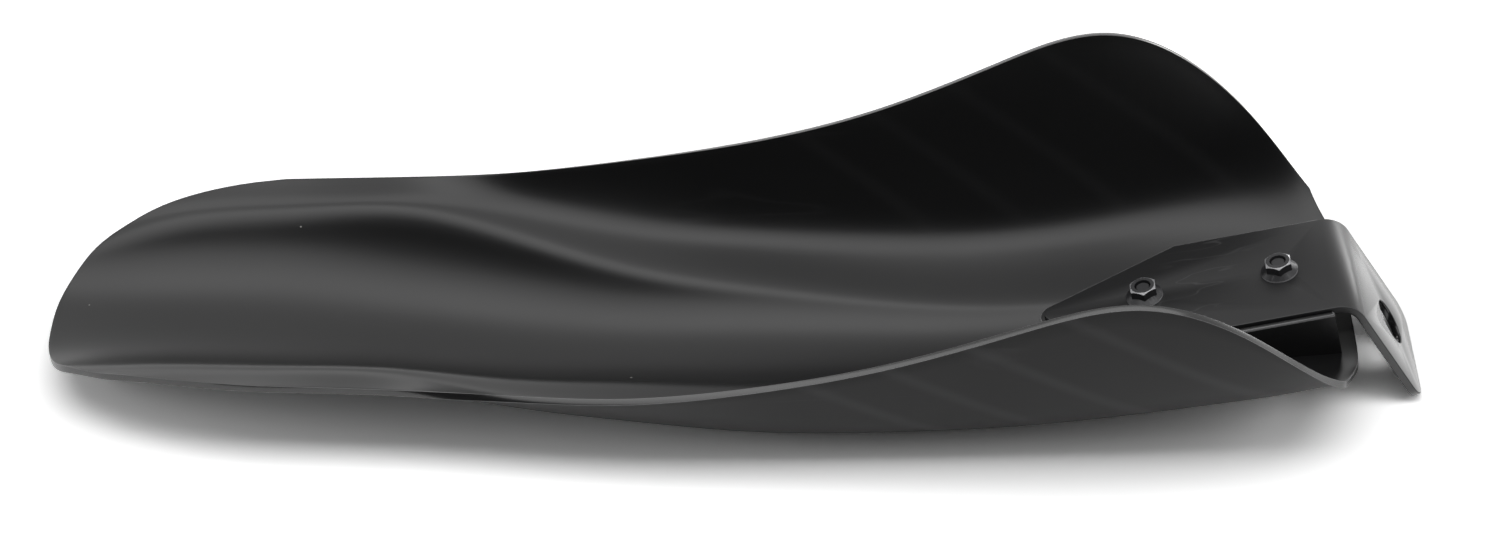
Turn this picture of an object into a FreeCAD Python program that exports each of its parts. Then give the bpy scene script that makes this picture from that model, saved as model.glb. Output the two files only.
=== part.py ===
import FreeCAD
import Part
import math
import os

# Scooter mudguard lying on its back. Millimetres; x from the tail to the mount end, y across, z up.
# The shell is described by its inner surface and thickened outwards by WALL.
WALL = 2.2

# Stations of the inner surface: place from the tail tip in percent of the shell's length, then
# keel height, crease half-width and height, foot half-width and height, rim half-width and height.
# The crease borders the trough of the tail, the foot is the corner between ledge and side wall.
STATIONS = (
    (0.0, 13.4, 28.0, 19.4, 39.4, 22.4, 51.6, 25.3),
    (8.18, 14.8, 35.0, 27.8, 43.4, 29.8, 52.0, 31.4),
    (17.81, 14.0, 38.0, 30.0, 45.4, 31.5, 53.4, 33.1),
    (27.44, 9.8, 38.8, 29.6, 47.0, 31.2, 55.0, 32.8),
    (35.87, 5.2, 35.0, 22.2, 51.0, 25.4, 57.5, 32.8),
    (44.29, 3.0, 28.4, 15.0, 50.6, 18.4, 61.4, 34.6),
    (53.92, 2.3, 24.6, 10.2, 52.2, 13.8, 63.3, 40.5),
    (63.55, 2.4, 20.6, 7.9, 52.8, 13.4, 65.3, 51.1),
    (73.18, 4.6, 17.0, 8.6, 53.4, 15.6, 68.4, 67.7),
    (81.37, 9.8, 15.0, 12.8, 54.6, 20.6, 70.5, 78.5),
    (90.03, 16.2, 13.0, 17.6, 54.2, 27.4, 67.4, 64.1),
    (94.85, 19.2, 12.0, 19.8, 48.6, 28.4, 60.3, 45.5),
    (98.7, 21.2, 12.0, 21.4, 38.0, 27.0, 47.4, 29.8),
    (100.63, 22.2, 12.0, 22.3, 33.4, 26.4, 39.0, 24.8),
)
SHELL_LENGTH = 415.4
TAIL_ROUND_LENGTH = 93.8
TAIL_HALF_WIDTH = 54.5
TAIL_SQUARENESS = 2.6
TAIL_EXTENSION = 4.0
END_CORNER = 8.0
END_SHARPNESS = 6.0

# Folded steel bracket: a tongue that rises towards the bend and a flange that falls to the floor.
PLATE = 2.5
BRACKET_WIDTH = 45.6
BEND_SETBACK = 2.6
BEND_Z = 41.0
TONGUE_RISE = 13.3
FLANGE_FALL = 57.3
BEND_INNER_RADIUS = 6.5
TONGUE_LENGTH = 97.2
TONGUE_STRAIGHT = 53.4
TIP_RADIUS = 4.0
FLANGE_HOLE_DIAMETER = 15.0
FLANGE_HOLE_AT = 30.0
FLANGE_CORNER_RADIUS = 7.0

# Fasteners: two bolts with button heads under the boss and two flange nuts on the bracket.
BOLT_DIAMETER = 5.0
BOLT_AT = (21.5, 64.8)
HOLE_CLEARANCE = 0.25
THREAD_CLEARANCE = 0.1
HEAD_DIAMETER = 9.5
HEAD_HEIGHT = 2.75
SOCKET_ACROSS_FLATS = 3.0
SOCKET_DEPTH = 1.6
NUT_ACROSS_FLATS = 8.0
NUT_HEIGHT = 4.5
NUT_FLANGE_DIAMETER = 11.8
NUT_FLANGE_THICKNESS = 1.2
BOLT_END_RECESS = 0.6

# Moulded boss that carries the tongue, hollow from the outside of the shell.
BOSS_MARGIN = 2.0
BOSS_TOP = 3.0
BOSS_WALL = 2.4
BOSS_END_GAP = 0.6
BOSS_REACH = 30.0

GRID_ALONG = 27
GRID_ACROSS = 12


def natural_spline(xs, values):
    """Smooth function of x through the given values, straight at both ends."""
    count = len(xs)
    step = [xs[i + 1] - xs[i] for i in range(count - 1)]
    slope = [(values[i + 1] - values[i]) / step[i] for i in range(count - 1)]
    diagonal = [1.0] * count
    target = [0.0] * count
    for i in range(1, count - 1):
        share = step[i - 1] / diagonal[i - 1] if i > 1 else 0.0
        diagonal[i] = 2 * (step[i - 1] + step[i]) - share * step[i - 1]
        target[i] = 6 * (slope[i] - slope[i - 1]) - share * target[i - 1]
    bend = [0.0] * count
    for i in range(count - 2, 0, -1):
        bend[i] = (target[i] - step[i] * bend[i + 1]) / diagonal[i]

    def at(x):
        i = 0
        while i < count - 2 and x > xs[i + 1]:
            i += 1
        before = xs[i + 1] - x
        after = x - xs[i]
        cubic = (bend[i] * before ** 3 + bend[i + 1] * after ** 3) / (6 * step[i])
        left = values[i] / step[i] - bend[i] * step[i] / 6
        right = values[i + 1] / step[i] - bend[i + 1] * step[i] / 6
        return cubic + left * before + right * after

    return at


PLACES = [row[0] / 100 * SHELL_LENGTH for row in STATIONS]
SPLINES = [natural_spline(PLACES, [row[j] for row in STATIONS]) for j in range(1, 8)]


def section_poles(x):
    """Control polygon of the half-section from the keel to the rim at one station."""
    keel, crease_y, crease_z, foot_y, foot_z, rim_y, rim_z = [spline(x) for spline in SPLINES]
    depth = crease_z - keel
    reach = rim_y - foot_y
    return [
        (0.0, keel),
        (0.36 * crease_y, keel),
        (0.74 * crease_y, keel + 0.36 * depth),
        (0.94 * crease_y, keel + 0.86 * depth),
        (crease_y + 2.0, keel + 1.02 * depth),
        (0.36 * crease_y + 0.64 * foot_y, 0.7 * crease_z + 0.3 * foot_z),
        (foot_y, foot_z),
        (foot_y + 0.60 * reach, (foot_z + rim_z) / 2),
        (rim_y, rim_z),
    ]


def section_curve(x):
    """Smooth curve of the half-section from the keel to the rim at one station."""
    curve = Part.BSplineCurve()
    curve.buildFromPolesMultsKnots(
        [FreeCAD.Vector(0, y, z) for y, z in section_poles(x)],
        [4, 1, 1, 1, 1, 1, 4],
        [i / 6 for i in range(7)],
        False,
        3,
    )
    return curve


def inner_point(along, share):
    """Point of the inner surface; along runs from tail to mount end, share from rim -1 to rim 1."""
    span = SHELL_LENGTH + TAIL_EXTENSION
    eased = span - END_CORNER * abs(share) ** END_SHARPNESS
    x = along * eased - TAIL_EXTENSION
    point = section_curve(x).value(abs(share))
    return FreeCAD.Vector(x, math.copysign(point.y, share), point.z)


def outer_point(along, share):
    """Point a wall thickness outside the inner surface."""
    nudge = 1e-3
    low = max(along - nudge, 0.0)
    high = min(along + nudge, 1.0)
    lengthways = inner_point(high, share) - inner_point(low, share)
    low = max(share - nudge, -1.0)
    high = min(share + nudge, 1.0)
    crossways = inner_point(along, high) - inner_point(along, low)
    return inner_point(along, share) - lengthways.cross(crossways).normalize() * WALL


def interpolated(points, parameters):
    """Cubic curve through points at the given parameters."""
    curve = Part.BSplineCurve()
    curve.interpolate(Points=points, Parameters=parameters)
    return curve


def skinned_surface(point_at):
    """Smooth surface through a grid of points of a function of along and share."""
    alongs = [i / GRID_ALONG for i in range(GRID_ALONG + 1)]
    shares = [j / GRID_ACROSS for j in range(-GRID_ACROSS, GRID_ACROSS + 1)]
    rows = [interpolated([point_at(along, share) for share in shares], shares) for along in alongs]
    columns = []
    for poles in zip(*[row.getPoles() for row in rows]):
        columns.append(interpolated(list(poles), alongs))
    surface = Part.BSplineSurface()
    surface.buildFromPolesMultsKnots(
        [list(poles) for poles in zip(*[column.getPoles() for column in columns])],
        columns[0].getMultiplicities(),
        rows[0].getMultiplicities(),
        columns[0].getKnots(),
        rows[0].getKnots(),
        False,
        False,
        3,
        3,
    )
    return surface


def border_edges(surface):
    """The four border curves of a surface as edges: tail, mount end, near rim, far rim."""
    low_u, high_u, low_v, high_v = surface.bounds()
    return [
        surface.uIso(low_u).toShape(),
        surface.uIso(high_u).toShape(),
        surface.vIso(low_v).toShape(),
        surface.vIso(high_v).toShape(),
    ]


def tail_trim():
    """Everything outside the rounded outline of the tail, as seen from above."""
    spread = [0.0, 0.2, 0.4, 0.55, 0.7, 0.8, 0.88, 0.94, 0.98, 0.995, 1.0]
    outline = []
    for share in [-value for value in reversed(spread[1:])] + spread:
        x = TAIL_ROUND_LENGTH * (1 - math.sqrt(1 - abs(share) ** TAIL_SQUARENESS))
        outline.append(FreeCAD.Vector(x, TAIL_HALF_WIDTH * share, 0))
    curve = Part.BSplineCurve()
    curve.interpolate(outline)
    closing = Part.makeLine(outline[-1], outline[0])
    height = 2 * BOSS_REACH
    kept = Part.Face(Part.Wire([curve.toShape(), closing])).extrude(FreeCAD.Vector(0, 0, height))
    margin = 2 * TAIL_EXTENSION
    corner = FreeCAD.Vector(-margin, -TAIL_HALF_WIDTH - margin, 0)
    zone = Part.makeBox(TAIL_ROUND_LENGTH + margin, 2 * (TAIL_HALF_WIDTH + margin), height, corner)
    trim = zone.cut(kept)
    trim.translate(FreeCAD.Vector(0, 0, -height / 4))
    return trim


def thin_shell():
    """Closed shell between the inner and the outer surface, and the outer face itself."""
    inner = skinned_surface(inner_point)
    outer = skinned_surface(outer_point)
    faces = [inner.toShape(), outer.toShape()]
    for first, second in zip(border_edges(inner), border_edges(outer)):
        faces.append(Part.makeRuledSurface(first, second))
    hull = Part.makeShell(faces)
    hull.sewShape()
    solid = Part.makeSolid(hull)
    if solid.Volume < 0:
        solid.reverse()
    return solid.cut(tail_trim()), outer.toShape()


RISE = math.radians(TONGUE_RISE)
FALL = math.radians(FLANGE_FALL)
BEND = FreeCAD.Vector(SHELL_LENGTH - BEND_SETBACK, 0, BEND_Z)
TO_TIP = FreeCAD.Vector(-math.cos(RISE), 0, -math.sin(RISE))
TONGUE_UP = FreeCAD.Vector(-math.sin(RISE), 0, math.cos(RISE))
TO_FLANGE_END = FreeCAD.Vector(math.cos(FALL), 0, -math.sin(FALL))
FLANGE_OUT = FreeCAD.Vector(math.sin(FALL), 0, math.cos(FALL))
FLANGE_LENGTH = (BEND_Z - PLATE * math.cos(FALL)) / math.sin(FALL)
BEND_RUN = (BEND_INNER_RADIUS + PLATE) * math.tan((RISE + FALL) / 2)


def on_tongue(along, across, height=0.0):
    """Point on the top of the tongue, measured from the bend towards the tip."""
    return BEND + TO_TIP * along + FreeCAD.Vector(0, across, 0) + TONGUE_UP * height


def tongue_prism(first, half_width, straight, length, tip_radius, top, depth):
    """Solid under the tongue's plane with the outline of a plate that tapers to a round tip."""
    centre = length - tip_radius
    reach = math.hypot(centre - straight, half_width)
    turn = math.atan2(half_width, centre - straight) - math.asin(tip_radius / reach)
    touch = (centre + tip_radius * math.sin(turn), tip_radius * math.cos(turn))
    near_start = on_tongue(first, -half_width, top)
    near_corner = on_tongue(straight, -half_width, top)
    near_touch = on_tongue(touch[0], -touch[1], top)
    tip = on_tongue(length, 0, top)
    far_touch = on_tongue(touch[0], touch[1], top)
    far_corner = on_tongue(straight, half_width, top)
    far_start = on_tongue(first, half_width, top)
    edges = [
        Part.makeLine(near_start, near_corner),
        Part.makeLine(near_corner, near_touch),
        Part.Arc(near_touch, tip, far_touch).toShape(),
        Part.makeLine(far_touch, far_corner),
        Part.makeLine(far_corner, far_start),
        Part.makeLine(far_start, near_start),
    ]
    return Part.Face(Part.Wire(edges)).extrude(TONGUE_UP * -depth)


def bolt_hole(at, diameter, top, depth):
    """Cylinder through the tongue at one bolt, from a height above its top downwards."""
    return Part.makeCylinder(diameter / 2, depth, on_tongue(at, 0, top), TONGUE_UP * -1)


def mounting_bracket():
    """Folded plate: tongue, bend and flange with its round hole."""
    outer_radius = BEND_INNER_RADIUS + PLATE
    middle = (TONGUE_UP + FLANGE_OUT).normalize()
    centre = BEND + TO_TIP * BEND_RUN - TONGUE_UP * outer_radius
    tip_length = TONGUE_LENGTH + TIP_RADIUS
    tip_top = BEND + TO_TIP * tip_length
    arc_top = BEND + TO_TIP * BEND_RUN
    arc_out = BEND + TO_FLANGE_END * BEND_RUN
    end_out = BEND + TO_FLANGE_END * FLANGE_LENGTH
    edges = [
        Part.makeLine(tip_top, arc_top),
        Part.Arc(arc_top, centre + middle * outer_radius, arc_out).toShape(),
        Part.makeLine(arc_out, end_out),
        Part.makeLine(end_out, end_out - FLANGE_OUT * PLATE),
        Part.makeLine(end_out - FLANGE_OUT * PLATE, arc_out - FLANGE_OUT * PLATE),
        Part.Arc(
            arc_out - FLANGE_OUT * PLATE,
            centre + middle * BEND_INNER_RADIUS,
            arc_top - TONGUE_UP * PLATE,
        ).toShape(),
        Part.makeLine(arc_top - TONGUE_UP * PLATE, tip_top - TONGUE_UP * PLATE),
        Part.makeLine(tip_top - TONGUE_UP * PLATE, tip_top),
    ]
    strip = Part.Face(Part.Wire(edges)).extrude(FreeCAD.Vector(0, BRACKET_WIDTH, 0))
    strip.translate(FreeCAD.Vector(0, -BRACKET_WIDTH / 2, 0))
    zone_half = BRACKET_WIDTH / 2 + 1
    zone = Part.Face(
        Part.makePolygon(
            [
                on_tongue(TONGUE_STRAIGHT, -zone_half, 1),
                on_tongue(tip_length + 1, -zone_half, 1),
                on_tongue(tip_length + 1, zone_half, 1),
                on_tongue(TONGUE_STRAIGHT, zone_half, 1),
                on_tongue(TONGUE_STRAIGHT, -zone_half, 1),
            ]
        )
    ).extrude(TONGUE_UP * -(PLATE + 2))
    kept = tongue_prism(
        0.0, BRACKET_WIDTH / 2, TONGUE_STRAIGHT, TONGUE_LENGTH, TIP_RADIUS, 1.0, PLATE + 2
    )
    plate = strip.cut(zone.cut(kept))
    for at in BOLT_AT:
        plate = plate.cut(bolt_hole(at, BOLT_DIAMETER + 2 * HOLE_CLEARANCE, 1.0, PLATE + 2))
    hole_start = BEND + TO_FLANGE_END * FLANGE_HOLE_AT + FLANGE_OUT
    plate = plate.cut(
        Part.makeCylinder(FLANGE_HOLE_DIAMETER / 2, PLATE + 2, hole_start, FLANGE_OUT * -1)
    )
    corners = []
    for edge in plate.Edges:
        ends = [vertex.Point for vertex in edge.Vertexes]
        if len(ends) != 2 or abs((ends[1] - ends[0]).cross(FLANGE_OUT).Length) > 1e-6:
            continue
        if all((point - BEND).dot(TO_FLANGE_END) > FLANGE_LENGTH - 1e-3 for point in ends):
            corners.append(edge)
    plate = plate.makeFillet(FLANGE_CORNER_RADIUS, corners)
    return plate.Solids[0]


def mudguard_shell():
    """Moulded shell with the hollow boss and its bolt holes."""
    shell, outer_face = thin_shell()
    below = outer_face.extrude(FreeCAD.Vector(0, 0, -2 * BOSS_REACH))
    corner_shift = BOSS_MARGIN * math.tan(math.radians(12.5))
    boss_end = BEND_RUN + BOSS_END_GAP
    boss = tongue_prism(
        boss_end,
        BRACKET_WIDTH / 2 + BOSS_MARGIN,
        TONGUE_STRAIGHT + corner_shift,
        TONGUE_LENGTH + BOSS_MARGIN,
        TIP_RADIUS + BOSS_MARGIN,
        -PLATE,
        BOSS_REACH,
    ).cut(below)
    inset = BOSS_WALL - BOSS_MARGIN
    pocket = tongue_prism(
        boss_end + BOSS_WALL,
        BRACKET_WIDTH / 2 - inset,
        TONGUE_STRAIGHT,
        TONGUE_LENGTH - inset,
        TIP_RADIUS,
        -PLATE - BOSS_TOP,
        BOSS_REACH,
    )
    solid = shell.fuse(boss).cut(pocket)
    for at in BOLT_AT:
        solid = solid.cut(
            bolt_hole(at, BOLT_DIAMETER + 2 * HOLE_CLEARANCE, -PLATE + 1.0, BOSS_TOP + 2.0)
        )
    pieces = sorted(solid.Solids, key=lambda piece: piece.Volume)
    return pieces[-1]


def hexagon_prism(centre, across_flats, height):
    """Hexagonal prism on the tongue's normal, flats facing along the tongue."""
    radius = across_flats / math.sqrt(3)
    corners = []
    for i in range(7):
        angle = math.radians(60 * i + 30)
        corners.append(
            centre + TO_TIP * (radius * math.cos(angle)) + FreeCAD.Vector(0, radius * math.sin(angle), 0)
        )
    return Part.Face(Part.makePolygon(corners)).extrude(TONGUE_UP * height)


def flange_nut(at):
    """Hexagon nut with a conical flange, its top edge eased, bored for the bolt."""
    base = on_tongue(at, 0)
    flange = Part.makeCylinder(NUT_FLANGE_DIAMETER / 2, NUT_FLANGE_THICKNESS / 2, base, TONGUE_UP)
    skirt = Part.makeCone(
        NUT_FLANGE_DIAMETER / 2,
        NUT_ACROSS_FLATS / 2,
        NUT_FLANGE_THICKNESS,
        base + TONGUE_UP * (NUT_FLANGE_THICKNESS / 2),
        TONGUE_UP,
    )
    prism = hexagon_prism(base, NUT_ACROSS_FLATS, NUT_HEIGHT)
    corner_radius = NUT_ACROSS_FLATS / math.sqrt(3)
    ease = corner_radius - NUT_ACROSS_FLATS / 2
    dome = Part.makeCone(
        corner_radius + 1.0,
        NUT_ACROSS_FLATS / 2 - 0.2,
        ease + 1.2,
        base + TONGUE_UP * (NUT_HEIGHT - ease - 1.2),
        TONGUE_UP,
    ).fuse(Part.makeCylinder(corner_radius + 1.0, NUT_HEIGHT - ease - 1.2, base, TONGUE_UP))
    body = prism.common(dome).fuse(flange).fuse(skirt)
    bore = Part.makeCylinder(
        BOLT_DIAMETER / 2 + THREAD_CLEARANCE, NUT_HEIGHT + 2, base - TONGUE_UP, TONGUE_UP
    )
    return body.cut(bore).removeSplitter().Solids[0]


def bracket_bolt(at):
    """Button-head bolt whose head lies under the top of the boss."""
    seat = on_tongue(at, 0, -PLATE - BOSS_TOP)
    length = BOSS_TOP + PLATE + NUT_HEIGHT - BOLT_END_RECESS
    ease = 0.5
    shank = Part.makeCylinder(BOLT_DIAMETER / 2, length - ease, seat, TONGUE_UP)
    point = Part.makeCone(
        BOLT_DIAMETER / 2, BOLT_DIAMETER / 2 - ease, ease, seat + TONGUE_UP * (length - ease), TONGUE_UP
    )
    rim = 0.6
    flat = Part.makeCylinder(HEAD_DIAMETER / 2, rim, seat, TONGUE_UP * -1)
    rise = HEAD_HEIGHT - rim
    top_radius = 0.28 * HEAD_DIAMETER
    lean = (HEAD_DIAMETER / 2) ** 2 - top_radius ** 2
    offset = (lean - rise ** 2) / (2 * rise)
    ball_radius = math.hypot(HEAD_DIAMETER / 2, offset)
    ball = Part.makeSphere(ball_radius, seat - TONGUE_UP * (rim - offset))
    crown = Part.makeCylinder(HEAD_DIAMETER / 2, rise, seat - TONGUE_UP * rim, TONGUE_UP * -1).common(ball)
    socket = hexagon_prism(seat - TONGUE_UP * HEAD_HEIGHT, SOCKET_ACROSS_FLATS, SOCKET_DEPTH)
    return shank.fuse(point).fuse(flat).fuse(crown).cut(socket).removeSplitter().Solids[0]


def main():
    os.makedirs("parts", exist_ok=True)
    far_end = (BEND + TO_FLANGE_END * FLANGE_LENGTH).x
    centring = FreeCAD.Vector(-far_end / 2, 0, 0)
    pieces = {
        "mudguard_shell": mudguard_shell(),
        "mounting_bracket": mounting_bracket(),
        "bracket_bolts": Part.makeCompound([bracket_bolt(at) for at in BOLT_AT]),
        "flange_nuts": Part.makeCompound([flange_nut(at) for at in BOLT_AT]),
    }
    for name, shape in pieces.items():
        shape.translate(centring)
        shape.exportStep("parts/" + name + ".step")


main()
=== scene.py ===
"""Looks of a black scooter mudguard that lies on its back on a pale studio floor."""

import logging
import math
from dataclasses import dataclass, field, replace
from enum import Enum
from typing import Callable, Dict, List, Sequence, Tuple

import bpy
import numpy as np
from mathutils import Matrix, Vector


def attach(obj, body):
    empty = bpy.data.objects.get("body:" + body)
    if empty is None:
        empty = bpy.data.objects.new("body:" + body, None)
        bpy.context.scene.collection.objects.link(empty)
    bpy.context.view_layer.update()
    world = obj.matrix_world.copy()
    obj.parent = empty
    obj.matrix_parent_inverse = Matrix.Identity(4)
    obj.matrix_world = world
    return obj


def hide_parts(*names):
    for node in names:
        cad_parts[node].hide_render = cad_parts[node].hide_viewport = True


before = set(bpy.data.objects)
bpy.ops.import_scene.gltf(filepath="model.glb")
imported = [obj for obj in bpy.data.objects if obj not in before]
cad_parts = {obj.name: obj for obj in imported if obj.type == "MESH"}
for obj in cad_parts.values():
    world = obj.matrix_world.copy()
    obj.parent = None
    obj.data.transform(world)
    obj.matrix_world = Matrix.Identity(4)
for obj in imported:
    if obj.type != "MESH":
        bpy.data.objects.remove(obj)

LOG = logging.getLogger("mudguard")
MM = 0.001
HEXAGON = 6
OVERCUT = 1.0 * MM  # how far cutters stand past what they cut
SLACK = 1e-6  # metres, for faces and edges that are picked by their place
FACING = 0.9  # part of a normal along an axis from which a face counts as facing it
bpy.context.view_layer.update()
ROW_SHIFT = Vector((-219.127 * MM, 0.0, 0.0))  # from the tail tip to the middle of the part
Colour = Tuple[float, float, float]
Point = Tuple[float, float, float]
Span = Tuple[float, float]
Piece = bpy.types.Object
Socket = bpy.types.NodeSocket
Tree = bpy.types.NodeTree


class Slot(Enum):
    """Material slots of the record."""

    SHELL = "shell_plastic"
    BRACKET = "bracket_paint"
    FASTENER = "fastener_black"


class Solver(Enum):
    """What a boolean does with its second mesh."""

    JOIN = "UNION"
    CUT = "DIFFERENCE"
    KEEP = "INTERSECT"


class Bench:
    """Hand tools: short wrappers round the modelling operators."""

    @staticmethod
    def start(name: str) -> Piece:
        """Name the primitive that was just added, and its mesh, and return it."""
        made = bpy.context.active_object
        made.name = name
        made.data.name = name
        return made

    @staticmethod
    def clear() -> None:
        """Leave edit mode and deselect everything."""
        if bpy.context.mode != "OBJECT":
            bpy.ops.object.mode_set(mode="OBJECT")
        bpy.ops.object.select_all(action="DESELECT")

    @staticmethod
    def pick(piece: Piece) -> None:
        """Make one piece the only selected, active object."""
        Bench.clear()
        piece.select_set(True)
        bpy.context.view_layer.objects.active = piece

    @staticmethod
    def select(piece: Piece, mode: str, test: Callable[[Vector, Vector], bool]) -> None:
        """Go into edit mode with those faces or edges of a piece selected that pass a test.

        Args:
            piece: The mesh object.
            mode: FACE or EDGE.
            test: Called with a face's centre and normal, or with an edge's two ends.
        """
        Bench.pick(piece)
        bpy.ops.object.mode_set(mode="EDIT")
        bpy.ops.mesh.select_mode(type=mode)
        bpy.ops.mesh.select_all(action="DESELECT")
        bpy.ops.object.mode_set(mode="OBJECT")
        mesh = piece.data
        if mode == "FACE":
            for face in mesh.polygons:
                face.select = bool(test(face.center, face.normal))
        else:
            for edge in mesh.edges:
                edge.select = bool(test(*(mesh.vertices[i].co for i in edge.vertices)))
        bpy.ops.object.mode_set(mode="EDIT")

    @staticmethod
    def extrude(offset: Vector) -> None:
        """Extrude the selected faces by an offset."""
        bpy.ops.mesh.extrude_region_move(TRANSFORM_OT_translate={"value": tuple(offset)})

    @staticmethod
    def apply(piece: Piece, kind: str, **settings: object) -> None:
        """Add one modifier with its settings and apply it.

        Args:
            piece: The mesh object.
            kind: Type name of the modifier.
            **settings: Properties of the modifier.
        """
        Bench.pick(piece)
        modifier = piece.modifiers.new(kind.lower(), kind)
        for key, value in settings.items():
            setattr(modifier, key, value)
        bpy.ops.object.modifier_apply(modifier=modifier.name)

    @staticmethod
    def combine(piece: Piece, tool: Piece, how: Solver) -> None:
        """Join, cut or keep a piece by a second mesh, which is then removed.

        Args:
            piece: The mesh that stays.
            tool: The mesh that shapes it.
            how: What the boolean does.
        """
        Bench.apply(piece, "BOOLEAN", operation=how.value, solver="EXACT", object=tool)
        bpy.data.objects.remove(tool)

    @staticmethod
    def outward(piece: Piece) -> None:
        """Merge doubles and turn all faces outwards."""
        Bench.pick(piece)
        bpy.ops.object.mode_set(mode="EDIT")
        bpy.ops.mesh.select_all(action="SELECT")
        bpy.ops.mesh.remove_doubles(threshold=SLACK)
        bpy.ops.mesh.normals_make_consistent(inside=False)
        bpy.ops.object.mode_set(mode="OBJECT")

    @staticmethod
    def smooth(piece: Piece, degrees: float) -> None:
        """Shade smooth, with edges sharper than the angle kept sharp."""
        Bench.pick(piece)
        bpy.ops.object.shade_smooth_by_angle(angle=math.radians(degrees))

    @staticmethod
    def place(piece: Piece, matrix: Matrix) -> None:
        """Put a piece somewhere and move that place into its mesh."""
        Bench.pick(piece)
        piece.matrix_world = matrix @ piece.matrix_world
        bpy.ops.object.transform_apply(location=True, rotation=True, scale=True)

    @staticmethod
    def prism(name: str, outline: Sequence[Span], top: float, depth: float) -> Piece:
        """Closed prism with a flat outline, extruded downwards.

        Args:
            name: Name of the new object.
            outline: Corners in x and y, in metres, anticlockwise from above.
            top: Height of the top face.
            depth: How far down it goes.

        Returns:
            The new object.
        """
        Bench.clear()
        bpy.ops.mesh.primitive_circle_add(vertices=len(outline), fill_type="NGON")
        made = Bench.start(name)
        for vertex, (x, y) in zip(made.data.vertices, outline):
            vertex.co = (x, y, top)
        Bench.select(made, "FACE", lambda centre, normal: True)
        Bench.extrude(Vector((0, 0, -depth)))
        Bench.outward(made)
        return made

    @staticmethod
    def cylinder(name: str, radius: float, low: float, high: float, at: float,
                 sides: int) -> Piece:
        """Upright closed cylinder between two heights.

        Args:
            name: Name of the new object.
            radius: Its radius, to the corners.
            low: Height of its bottom.
            high: Height of its top.
            at: Its place along x.
            sides: Corners round it.

        Returns:
            The new object, its place in its mesh.
        """
        Bench.clear()
        bpy.ops.mesh.primitive_cylinder_add(
            vertices=sides, radius=radius, depth=high - low, location=(at, 0.0, (low + high) / 2)
        )
        made = Bench.start(name)
        Bench.place(made, Matrix.Identity(4))
        return made

    @staticmethod
    def drill(piece: Piece, radius: float, low: float, high: float, at: float, sides: int,
              matrix: Matrix) -> None:
        """Cut a round hole into a piece.

        Args:
            piece: The mesh to drill.
            radius: Radius of the hole, to the corners.
            low: Height of its bottom in its own frame.
            high: Height of its top.
            at: Its place along x.
            sides: Corners round it.
            matrix: Place of the hole's own frame.
        """
        hole = Bench.cylinder("hole", radius, low, high, at, sides)
        Bench.place(hole, matrix)
        Bench.combine(piece, hole, Solver.CUT)


class Nodes:
    """Short way to write a node tree."""

    column_width = 180
    mix_inputs = (0, 6, 7)  # factor and the two colours among the Mix node's inputs
    mix_output = 2

    def __init__(self, tree: Tree) -> None:
        """Hold the tree and count its columns."""
        self.tree = tree
        self.count = 0

    @classmethod
    def fresh(cls, owner: bpy.types.Material | bpy.types.World) -> "Nodes":
        """Empty node tree of a material or world."""
        owner.use_nodes = True
        owner.node_tree.nodes.clear()
        return cls(owner.node_tree)

    def feed(self, socket: Socket, value: object) -> None:
        """Link an output to an input, or set the input's own value."""
        if isinstance(value, Socket):
            self.tree.links.new(value, socket)
        else:
            socket.default_value = value

    def add(self, kind: str, inputs: Dict[object, object] | None = None,
            **settings: object) -> bpy.types.Node:
        """Add a node, set its properties and fill or link its inputs.

        Args:
            kind: Type name of the node.
            inputs: Values or output sockets by input name or number.
            **settings: Properties of the node.

        Returns:
            The new node.
        """
        node = self.tree.nodes.new(kind)
        node.location = (self.column_width * self.count, 0)
        self.count += 1
        for key, value in settings.items():
            setattr(node, key, value)
        for key, value in (inputs or {}).items():
            self.feed(node.inputs[key], value)
        return node

    def math(self, operation: str, *values: object, clamp: bool = False) -> Socket:
        """One Math node over values or sockets; returns its output."""
        inputs = dict(enumerate(values))
        return self.add("ShaderNodeMath", inputs, operation=operation, use_clamp=clamp).outputs[0]

    def ramp(self, value: Socket, low: float, high: float) -> Socket:
        """Smooth step of a value from 0 at low to 1 at high; returns its output."""
        node = self.add("ShaderNodeMapRange", {"Value": value, "From Min": low, "From Max": high},
                        interpolation_type="SMOOTHSTEP")
        return node.outputs["Result"]

    def mix(self, factor: object, first: object, second: object) -> Socket:
        """Blend two colours by a factor; returns the colour output."""
        node = self.add("ShaderNodeMix", data_type="RGBA")
        for number, value in zip(self.mix_inputs, (factor, first, second)):
            self.feed(node.inputs[number], (*value, 1.0) if isinstance(value, tuple) else value)
        return node.outputs[self.mix_output]


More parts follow.
